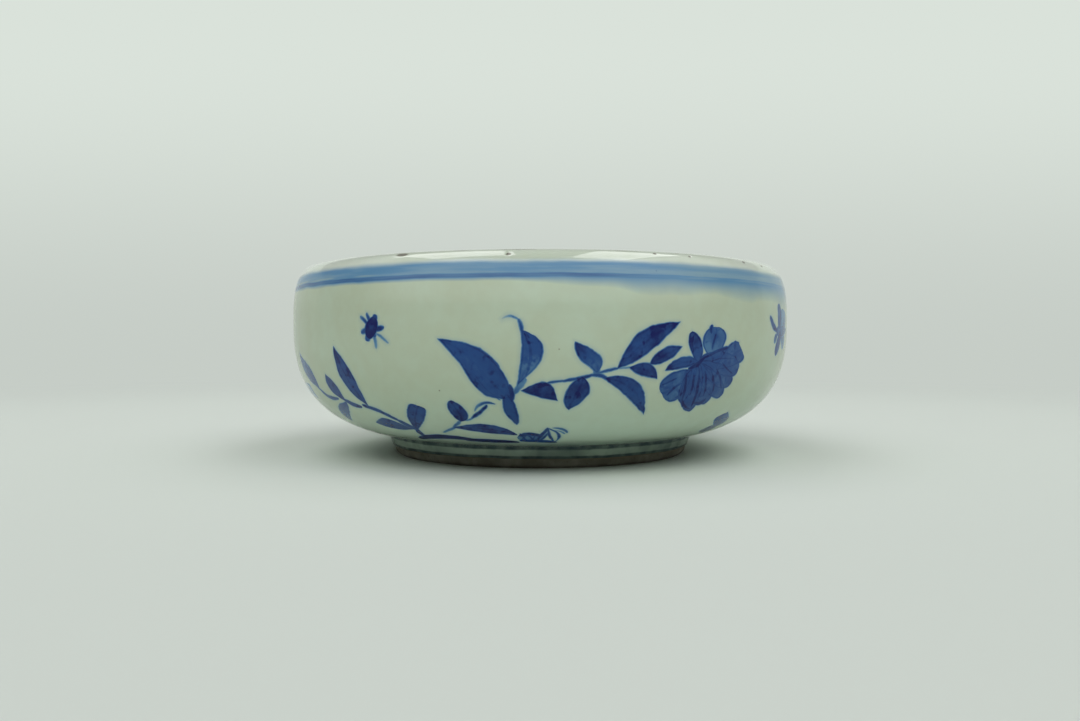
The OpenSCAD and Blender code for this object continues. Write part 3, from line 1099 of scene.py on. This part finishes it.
def rim_ink(place, across):
    """Ink of the rim band: the wash under the lip, a darker line along its lower edge with a pale slit
    above it on the left, and cobalt that bled below the line, deeper to the right. At home, where the
    painting comes round again, both ends match."""
    wash, z, patch = rim_wash(place)
    low, high = RIM_LINE
    wash = wash * z.ramp(low - 0.2, low + 0.3)
    slit = z.ramp(high, high + 0.25) * z.ramp(high + 0.65, high + 0.4)
    slit = slit * across.ramp(*SLIT_ACROSS, 0.0, SLIT_LOSS) * across.ramp(*SLIT_END)
    wash = wash - slit * place.noise(0.06, 1.0).ramp(0.4, 0.6)
    home = across.ramp(*HOME_ACROSS)
    wash = wash * (home * across.ramp(*WASH_ACROSS, 0.0, WASH_CHANGE) + 1.0)
    line = z.ramp(low - 0.35, low + 0.3) * z.ramp(high + 0.4, high - 0.3)
    line = line * (patch * (home * across.ramp(*LINE_ACROSS, 0.0, LINE_CHANGE) + LINE_INK))
    run = across.ramp(*NEAR_ACROSS, 0.0, BLEED_NEAR) + across.ramp(*FAR_ACROSS, 0.0, BLEED_FAR)
    run = run.math("MULTIPLY_ADD", home, BLEED)
    run = run * place.noise(0.07).ramp(*NOISE_RANGE, 0.82, 1.12)
    bled = z.ramp(low - run, low + 0.1, 0.0, RIM_WASH, smooth=False)
    bled = bled * z.math("LESS_THAN", low + 0.4)
    return wash.most(line).most(bled)


def painted_glaze(s, colours):
    """Glaze with the cobalt painting under it: the ink of every brush mark and of the rim band, turned into
    colour from thin wash to heaped outline."""
    material, shader, place = new_material("painted_glaze")
    chart, across = painted_chart(place, s)
    laid = {"Ink": 0.0, "Nearness": FAR_OFF}
    for mark in BRUSH_MARKS:
        if isinstance(mark, Leaf):
            laid = place_group(place.tree, brush_leaf, Chart=chart, **laid, **leaf_values(mark))
        else:
            laid = place_group(place.tree, brush_line, Chart=chart, **laid, **line_values(mark))
    patch = place.noise(0.26, 3.0, 0.55).ramp(0.28, 0.72, 0.86, 1.1)
    blots = place.noise(0.55, 1.0).ramp(0.56, 0.74, 0.0, HEAPED)
    ink = laid["Ink"] * (patch + blots)
    ink = ink.most(laid["Nearness"].ramp(-HALO_W, 0.0, 0.0, HALO_INK))
    ink = ink.most(rim_ink(place, across))
    z = place.parts()[2]
    seam = s.foot_h / MM
    # Below the pooling height the wall turns paler and bluer: pooled glaze, and partly painted light that
    # lifts the lower wall
    skin = coated(place, colours.glaze, colours.glaze_pool_and_light, z.ramp(POOL_AND_LIGHT_Z, seam, 0.0, WALL_POOL_AND_LIGHT))
    colour = ink.ramp(0.0, THIN_INK, smooth=False).mix(skin["Colour"], colours.cobalt_pale)
    colour = ink.ramp(*FILLED_INK).mix(colour, colours.cobalt_mid)
    colour = ink.ramp(*HEAPED_INK).mix(colour, colours.cobalt_dark)
    # Painted shade: the wall darkens towards the foot cobalt just above the foot's seam
    colour = z.ramp(seam + 3.2, seam + 0.6, 0.0, SEAM_SHADE).mix(colour, colours.foot_cobalt_and_shade)
    surface(shader, colour, skin["Roughness"], skin["Height"], strength=0.25)
    return material


def clear_glaze(colours):
    """Plain glaze of the lip, with the upper edge of the rim's wash, a brown worn line just outside the
    crest, the bare nicks, and a glossy coat on both sides of the crest."""
    material, shader, place = new_material("clear_glaze")
    skin = coated(place, colours.lip, colours.glaze, 0.0)
    nick = attribute(place, "nick")
    crest = attribute(place, "from_crest")
    rubbed = place.noise(0.13, 3.0)
    width = rubbed.ramp(0.42, 0.66, 0.0, 0.3)
    wear = ((crest + WEAR_OUT).size() - width).ramp(0.3, -0.1) * rubbed.ramp(0.44, 0.6, 0.0, 0.45)
    bare = nick.ramp(0.15, 0.5)
    stain = wear.most(bare * 0.9)
    wash = rim_wash(place)[0] * crest.math("LESS_THAN", 0.0)
    colour = wash.ramp(0.0, THIN_INK, smooth=False).mix(skin["Colour"], colours.cobalt_pale)
    colour = stain.mix(colour, colours.paste_stain)
    rough = bare.math("MULTIPLY_ADD", 0.5, skin["Roughness"] * 0.5)
    gloss = place.parts()[2].ramp(RIM_TOP - 0.5, RIM_TOP + 0.7) * crest.size().ramp(0.5, 1.7)
    gloss.lead(shader, "Coat Weight")
    shader.inputs["Coat IOR"].default_value = LIP_IOR
    shader.inputs["Coat Roughness"].default_value = LIP_ROUGH
    surface(shader, colour, rough, skin["Height"], strength=0.1)
    return material


def well_glaze(s, colours):
    """Plain glaze of the well and the base, pooled and bluer where it lies deep."""
    material, shader, place = new_material("well_glaze")
    low = place.parts()[2].ramp(s.belly_z / MM, s.well_z / MM, 0.0, WELL_POOL)
    skin = coated(place, colours.glaze, colours.glaze_pool_and_light, low)
    surface(shader, skin["Colour"], skin["Roughness"], skin["Height"], strength=0.3)
    return material


def foot_glaze(s, colours):
    """Glaze of the foot, mixed towards the dark foot cobalt partly as painted shade, with a dark cobalt line
    under the seam and another above the bare rim, and a kiln flash along its lower edge."""
    material, shader, place = new_material("foot_glaze")
    # Partly painted shade: the foot's glaze is mixed towards the dark foot cobalt
    skin = coated(place, colours.glaze_pool_and_light, colours.foot_cobalt_and_shade, FOOT_POOL_AND_SHADE)
    z = strayed_height(place, 0.12, 3.0, 0.7)
    seam = s.foot_h / MM
    bare = s.bare_h / MM
    ink = z.ramp(seam - 1.15, seam - 0.6).most(z.ramp(bare + 1.25, bare + 0.8))
    ink = ink * place.noise(0.3, 3.0).ramp(*NOISE_RANGE, 0.7, 0.95)
    colour = ink.mix(skin["Colour"], colours.foot_cobalt_and_shade)
    colour = z.ramp(bare + 0.35, bare).mix(colour, colours.flash)
    surface(shader, colour, skin["Roughness"], skin["Height"], strength=0.25)
    return material


def bare_paste(s, colours):
    """Bare fired paste: brown stain in clouds that gather low down, an orange flash under the glaze, dark
    grit and a dry fine grain."""
    material, shader, place = new_material("bare_paste")
    z = place.parts()[2]
    bare = s.bare_h / MM
    cloud = place.noise(0.14, 4.0, 0.6).ramp(0.32, 0.68, 0.25, 0.9)
    stain = cloud.math("ADD", z.ramp(1.4, 0.0, 0.0, 0.3), clamp=True)
    colour = stain.mix(colours.paste, colours.paste_stain)
    flash = z.ramp(bare - 0.9, bare) * place.noise(0.06).ramp(0.4, 0.62)
    colour = (flash * 0.8).mix(colour, colours.flash)
    grain = place.noise(2.6, 5.0, 0.65)
    grit = place.noise(1.3).ramp(0.66, 0.74)
    colour = (grit * 0.75).mix(colour, SPECK)
    surface(shader, colour, grain.ramp(*NOISE_RANGE, *FOOT_ROUGH), grain, strength=0.5, distance=FOOT_GRAIN)
    return material


def raw_porcelain(colours):
    """Fired paste of the body under its glaze, with a fine grain."""
    material, shader, place = new_material("raw_porcelain")
    grain = place.noise(1.6, 4.0)
    colour = grain.ramp(*NOISE_RANGE, 0.0, 0.4).mix(colours.glaze, colours.paste)
    surface(shader, colour, grain.ramp(*NOISE_RANGE, *PASTE_ROUGH), grain, strength=0.3)
    return material


# Pieces

class WASHER_OT_thrown_body(Operator):
    """Gives the thrown body its fired paste"""

    bl_idname = "washer.thrown_body"
    bl_label = "Thrown Body"

    def execute(self, context):
        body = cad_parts["thrown_body"]
        body.data.materials.clear()
        body.data.materials.append(raw_porcelain(settings().colours))
        return {"FINISHED"}


def wall_maps(s, columns):
    """UV maps of the painted wall: the chart in millimetres, and three strips of a third of the way
    round, one above the other, for a sharp bake. The backing takes a narrow belt along the top of each
    strip."""
    def maps(face, back, places):
        heights, _, ups = chart_of(s)
        rows = np.vstack([face.rows, back.rows, face.rows[:1]])
        turn = places[..., 1] / columns * 2 * math.pi - math.pi
        chart_up = np.interp(rows[:, 1], heights, ups)
        chart = np.stack([turn * s.belly_d / 2 / MM, chart_up[places[..., 0]]], axis=-1)
        share = np.concatenate([
            np.linspace(*STRIP_FACE, len(face.rows)),
            np.linspace(*STRIP_BACK, len(back.rows)),
            [STRIP_END],
        ])
        third = columns // BAKE_STRIPS
        strip = np.broadcast_to(places[:, :1, 1] // third, places.shape[:2])
        along = STRIP_SIDE + (1 - 2 * STRIP_SIDE) * (places[..., 1] - strip * third) / third
        bake = np.stack([along, (strip + STRIP_FOOT + share[places[..., 0]]) / BAKE_STRIPS], axis=-1)
        return {"paint_chart": chart, "OFBake": bake}
    return maps


class WASHER_OT_painted_wall(Operator):
    """Adds the painted glaze of the outer wall, from the foot's seam to the top of the rim band"""

    bl_idname = "washer.painted_wall"
    bl_label = "Painted Wall"

    def execute(self, context):
        s = settings().sizes
        curve = cut_above(outer_curve(s), s.foot_h)
        curve = cut_above(curve, s.pot_h - s.lip_drop, keep_low=True)
        backing = sunk(spaced(curve, WALL_BACK_ROWS), s.coat_t)[::-1]
        wall = shell(
            "painted_wall", spaced(curve, WALL_ROWS), backing, WALL_COLUMNS, partial(thrown_shift, s),
            maps=wall_maps(s, WALL_COLUMNS))
        dress(
            wall, painted_glaze(s, settings().colours), "clear_glaze",
            "wall_glaze", "rim_line_upper", "rim_wash", "rim_line_lower")
        return {"FINISHED"}


def nick_mask(theta, from_crest, s):
    """How deep each point of the lip lies in a nick, from nought to one: the largest of a set of bell
    curves of the distance round the lip and the distance from the crest."""
    chart_r = s.belly_d / 2 / MM
    seen = photo_to_chart([nick.pixel for nick in LIP_NICKS]) / chart_r
    crest = chart_of(s)[2][-1] / chart_r
    picks = np.random.default_rng(NICK_SEED)
    angles = np.concatenate([seen[:, 0], picks.uniform(*NICK_TURN, NICK_COUNT)])
    half = np.concatenate([[nick.half for nick in LIP_NICKS], picks.uniform(*NICK_HALF, NICK_COUNT)]) * MM
    more = picks.uniform(*NICK_PLACE, NICK_COUNT) * MM
    place = np.concatenate([(seen[:, 1] - crest) * s.lip_d / 2, more])
    gap = (theta[None, :] - angles[:, None] + math.pi) % (2 * math.pi) - math.pi
    round_lip = gap * s.lip_d / 2 / half[:, None]
    over_lip = (from_crest[None, :] - place[:, None]) / (NICK_RISE + NICK_SHARE * half[:, None])
    bells = np.exp(-round_lip[:, None, :] ** 2 - over_lip[:, :, None] ** 2)
    return bells.max(axis=0)


def sink_nicks(lip, nick, visible):
    """Sinks the nicks into the lip, along the inward direction of its profile."""
    count, columns = nick.shape
    points = np.empty(len(lip.data.vertices) * 3, np.float32)
    lip.data.vertices.foreach_get("co", points)
    points = points.reshape(-1, columns, 3)
    inward = sunk(visible, 1.0) - visible
    theta = round_angles(columns)
    depth = nick * NICK_DEPTH
    points[:count, :, 0] += depth * inward[:, :1] * np.sin(theta)
    points[:count, :, 1] -= depth * inward[:, :1] * np.cos(theta)
    points[:count, :, 2] += depth * inward[:, 1:]
    lip.data.vertices.foreach_set("co", points.reshape(-1))
    lip.data.update()


class WASHER_OT_lip_coat(Operator):
    """Adds the glaze over the lip, with its worn crest and its nicks"""

    bl_idname = "washer.lip_coat"
    bl_label = "Lip"

    def execute(self, context):
        s = settings().sizes
        outside = spaced(cut_above(outer_curve(s), s.pot_h - s.lip_drop), LIP_ROWS)
        inside = spaced(inner_halves(s)[0], LIP_ROWS)
        visible = np.vstack([outside, inside[1:]])
        backing = sunk(visible, s.coat_t)[::-1]
        from_crest = run_length(visible)
        from_crest -= from_crest[len(outside) - 1]
        nick = nick_mask(round_angles(LIP_COLUMNS), from_crest, s)

        def values(face, back, places):
            """Point values of the face, and of the backing, which has no nicks and lies far from the
            crest."""
            crest = np.repeat(from_crest[:, None] / MM, LIP_COLUMNS, axis=1)
            return {
                "nick": np.concatenate([nick, np.zeros_like(nick)]),
                "from_crest": np.concatenate([crest, np.full_like(crest, FAR_FROM_CREST)]),
            }

        lip = shell("lip_coat", visible, backing, LIP_COLUMNS, partial(thrown_shift, s), values=values)
        sink_nicks(lip, nick, visible)
        dress(lip, clear_glaze(settings().colours), "clear_glaze", "lip_glaze")
        return {"FINISHED"}


class WASHER_OT_well_coat(Operator):
    """Adds the glaze of the well, from the lip to the middle of the floor"""

    bl_idname = "washer.well_coat"
    bl_label = "Well"

    def execute(self, context):
        s = settings().sizes
        curve = inner_halves(s)[1]
        backing = sunk(spaced(curve, WELL_BACK_ROWS), s.coat_t)[::-1]
        backing[0, 0] = 0
        well = capped_shell(
            "well_coat", backing, spaced(curve, WELL_ROWS), WELL_COLUMNS, partial(thrown_shift, s))
        dress(well, well_glaze(s, settings().colours), "clear_glaze", "well_glaze")
        return {"FINISHED"}


def foot_outside(s, z):
    """Radius of the bare foot's outside: a straight taper from the seam down to the table."""
    top = cut_above(outer_curve(s), s.foot_h)[0, 0] - s.glaze_t
    return s.foot_d / 2 + (top - s.foot_d / 2) * z / s.foot_h


class WASHER_OT_foot_coat(Operator):
    """Adds the glaze on the outside of the foot, with its two cobalt lines"""

    bl_idname = "washer.foot_coat"
    bl_label = "Foot Glaze"

    def execute(self, context):
        s = settings().sizes
        z = np.linspace(s.bare_h, s.foot_h, FOOT_ROWS)
        swell = 1 - EDGE_LOSS * np.exp(-(z - s.bare_h) / EDGE_RUN)
        visible = np.column_stack([foot_outside(s, z) + s.glaze_t * swell, z])
        backing = np.column_stack([foot_outside(s, z) + FOOT_GAP, z])[::-1]
        coat = shell("foot_coat", visible, backing, FOOT_COLUMNS, no_shift)
        dress(
            coat, foot_glaze(s, settings().colours), "foot_line",
            "foot_line_upper", "foot_glaze", "foot_line_lower")
        return {"FINISHED"}


class WASHER_OT_turned_foot(Operator):
    """Adds the turned foot ring, with its turning marks and bare rim"""

    bl_idname = "washer.turned_foot"
    bl_label = "Foot Ring"

    def execute(self, context):
        s = settings().sizes
        inner = s.foot_d / 2 - s.foot_t
        seat = inner + s.spigot_t
        top = s.foot_h + s.spigot_h
        # Each corner's radius and height, and the number of rows from it to the next corner
        corners = (
            (inner + s.foot_bevel, 0, 14), (s.foot_d / 2 - s.foot_bevel, 0, 5),
            (foot_outside(s, s.foot_bevel), s.foot_bevel, 18), (foot_outside(s, s.foot_h), s.foot_h, 3),
            (seat, s.foot_h, 2), (seat, top, 2), (inner, top, 14), (inner, s.foot_bevel, 5))
        runs = []
        for (r, z, count), (r2, z2, _) in zip(corners, corners[1:] + corners[:1]):
            t = np.linspace(0, 1, count, endpoint=False)[:, None]
            runs.append(np.array([r, z]) + t * np.array([r2 - r, z2 - z]))
        rows = np.vstack(runs)

        def worn(theta, z):
            """Turning marks and dents in the bare rim, none of them outward."""
            marks = wave(2 * math.pi * z / TURN_PITCH + 0.4 * np.sin(2 * theta))
            dents = np.clip(np.sin(9 * theta + 1.1) * np.sin(23 * theta + 0.4) * np.sin(37 * theta), 0, 1)
            bare = np.clip((s.bare_h - z) / s.bare_h, 0, 1)
            outer = rows[:, :1] > inner + s.foot_t / 2
            return -np.where(outer, bare * (TURN_DEPTH * marks + DENT_DEPTH * dents), 0)

        coat = revolve(rows, FOOT_COLUMNS, worn)
        quads, _ = ring_faces(len(rows), FOOT_COLUMNS, closed=True)
        foot = add_mesh("turned_foot", coat.points.reshape(-1, 3), coat.normals, quads)
        dress(foot, bare_paste(s, settings().colours), "bare_foot", "foot_ring")
        return {"FINISHED"}


class WASHER_OT_base_coat(Operator):
    """Adds the glaze inside the foot ring, with the glaze pooled in its corner"""

    bl_idname = "washer.base_coat"
    bl_label = "Base"

    def execute(self, context):
        s = settings().sizes
        roof = s.foot_h + s.spigot_h - s.glaze_t
        side = s.foot_d / 2 - s.foot_t - s.glaze_t
        a = np.linspace(math.pi / 2, 0, 12)
        corner = np.column_stack([np.cos(a) - 1, np.sin(a) - 1]) * BASE_FILLET + [side, roof]
        curve = np.vstack([[[0, roof]], corner, [[side, s.bare_h]]])
        visible = spaced(curve, BASE_ROWS)
        backing = sunk(visible, s.coat_t)[::-1]
        base = capped_shell("base_coat", visible, backing, BASE_COLUMNS, no_shift)
        dress(base, well_glaze(s, settings().colours), "clear_glaze", "base_glaze")
        return {"FINISHED"}


# Stage

def seen_rays(tree):
    """Masks of the two kinds of rays that show the stage itself: those straight from the camera, and
    those that are mirrored or go through a clear piece."""
    path = tree.nodes.new("ShaderNodeLightPath")
    mirrored = Value(path, "Is Glossy Ray").most(Value(path, "Is Transmission Ray"))
    return Value(path, "Is Camera Ray"), mirrored


def studio_room(view):
    """The room's light by direction: a belt well above the horizon, full in front, weaker at the sides
    and behind, and stronger to the right. The horizon is dim, but pale to the camera and where it is
    mirrored, and rays mirrored to the front see a brighter room there."""
    world = bpy.data.worlds.new("studio")
    world.use_nodes = True
    tree = world.node_tree
    right, back, up = Value(tree.nodes.new("ShaderNodeTexCoord"), "Generated").parts()
    rise = up.ramp(*ROOM_RISE)
    belt = back.ramp(*ROOM_FRONT, ROOM_SIDE, 1.0) * back.ramp(*ROOM_BACK, 1.0, ROOM_DIM)
    belt = belt * up.ramp(*ROOM_FALL, 1.0, 0.0) * right.ramp(*ROOM_RIGHT, 1.0, ROOM_MORE)
    light = rise * belt * (view.room - view.horizon) + view.horizon
    camera, mirrored = seen_rays(tree)
    shine = up.ramp(*SHINE_RISE) * back.ramp(*SHINE_FRONT)
    shine = shine.math("MULTIPLY_ADD", view.shine, view.pale) * mirrored
    pale = camera.math("MULTIPLY_ADD", view.backdrop, shine) * (1.0 - rise)
    background = tree.nodes["Background"]
    background.inputs["Color"].default_value = (1.0, 1.0, 1.0, 1.0)
    (light + pale).lead(background, "Strength")
    return world


def stage_paper(colours):
    """Matt paper, lit by the lamps near the washer. Farther off, where a ray shows the stage, it fades
    into an even far colour that grows paler up the backdrop."""
    material, shader, place = new_material("stage_paper")
    tree = place.tree
    shader.inputs["Base Color"].default_value = (*colours.stage, 1.0)
    shader.inputs["Roughness"].default_value = PAPER_ROUGH
    shader.inputs["Specular IOR Level"].default_value = PAPER_GLOSS
    away = place.vector("LENGTH", (0.0, 0.0, 0.0), "Value")
    camera, mirrored = seen_rays(tree)
    far = away.ramp(*FAR_PAPER) * camera.most(mirrored)
    colour = place.parts()[2].ramp(0.0, FAR_TOP).mix(colours.stage_far, colours.stage_top)
    glow = add_node(tree, "Emission", {"Color": colour})
    blend = add_node(tree, "MixShader", (far, Value(shader), Value(glow)))
    Value(blend).lead(tree.nodes["Material Output"], "Surface")
    return material


def stage_sweep(colours):
    """Floor that runs back, turns up in a quarter circle and stands as a backdrop, as a profile carried
    sideways."""
    turn = np.linspace(0, math.pi / 2, 24)
    back = SWEEP_Y + SWEEP_R * np.sin(turn)
    up = SWEEP_R * (1 - np.cos(turn))
    profile = np.column_stack([
        np.concatenate([[-SWEEP_FRONT], back, [SWEEP_Y + SWEEP_R]]),
        np.concatenate([[0], up, [SWEEP_TOP]]),
    ])
    x = np.array([-SWEEP_HALF, SWEEP_HALF])
    points = np.stack([
        np.broadcast_to(x, (len(profile), 2)),
        np.repeat(profile[:, :1], 2, axis=1), np.repeat(profile[:, 1:], 2, axis=1)], axis=-1)
    i = np.arange(len(profile) - 1)
    quads = np.column_stack([2 * i, 2 * i + 1, 2 * i + 3, 2 * i + 2])
    up_way = np.gradient(profile, axis=0)
    up_way /= np.hypot(*up_way.T)[:, None]
    normals = np.repeat(np.column_stack([0 * up_way[:, 0], -up_way[:, 1], up_way[:, 0]]), 2, axis=0)
    sweep = add_mesh("stage_sweep", points.reshape(-1, 3), normals, quads)
    sweep.data.materials.append(stage_paper(colours))
    return sweep


class WASHER_OT_stage(Operator):
    """Adds the pale sweep, the softboxes, the room's light and the camera"""

    bl_idname = "washer.stage"
    bl_label = "Stage"

    def execute(self, context):
        view = settings().view
        scene = context.scene
        stage_sweep(settings().colours)
        for name, low, high in SOFTBOXES:
            lamp = bpy.data.lights.new(name, "AREA")
            lamp.shape = "RECTANGLE"
            lamp.size = high[0] - low[0]
            lamp.size_y = high[1] - low[1]
            lamp.energy = view.softbox_watts * lamp.size * lamp.size_y
            add_object(name, lamp, ((low[0] + high[0]) / 2, (low[1] + high[1]) / 2, SOFTBOX_Z))
        scene.world = studio_room(view)
        camera = bpy.data.cameras.new("photo_view")
        camera.lens = view.lens
        camera.sensor_width = view.sensor
        camera.clip_start = CLIP_START
        stand = add_object("photo_view", camera, (0, -view.distance, view.height))
        stand.rotation_euler = (math.pi / 2 - view.pitch, 0, 0)
        scene.camera = stand
        scene.view_settings.view_transform = "Standard"
        return {"FINISHED"}


class WASHER_PT_panel(Panel):
    """Lists the washer's pieces and settings"""

    bl_idname = "WASHER_PT_panel"
    bl_label = "Brush Washer"
    bl_space_type = "VIEW_3D"
    bl_region_type = "UI"
    bl_category = "Washer"

    def draw(self, context):
        column = self.layout.column()
        for operator in OPERATORS:
            column.operator(operator.bl_idname)
        for group in (settings().sizes, settings().colours, settings().view):
            box = self.layout.box()
            for name in group.__annotations__:
                box.prop(group, name)


OPERATORS = (
    WASHER_OT_thrown_body, WASHER_OT_painted_wall, WASHER_OT_lip_coat, WASHER_OT_well_coat,
    WASHER_OT_foot_coat, WASHER_OT_turned_foot, WASHER_OT_base_coat, WASHER_OT_stage)
CLASSES = (WasherSizes, WasherColours, WasherView, WasherSettings, *OPERATORS, WASHER_PT_panel)


def register():
    """Registers the classes and hangs the settings on the scene."""
    for cls in CLASSES:
        bpy.utils.register_class(cls)
    bpy.types.Scene.washer = PointerProperty(type=WasherSettings)


def unregister():
    """Takes the settings and the classes away again."""
    del bpy.types.Scene.washer
    for cls in reversed(CLASSES):
        bpy.utils.unregister_class(cls)


def main():
    """Builds every piece and the stage."""
    register()
    bpy.ops.washer.thrown_body()
    bpy.ops.washer.painted_wall()
    bpy.ops.washer.lip_coat()
    bpy.ops.washer.well_coat()
    bpy.ops.washer.foot_coat()
    bpy.ops.washer.turned_foot()
    bpy.ops.washer.base_coat()
    bpy.ops.washer.stage()


if __name__ == "__main__":
    main()
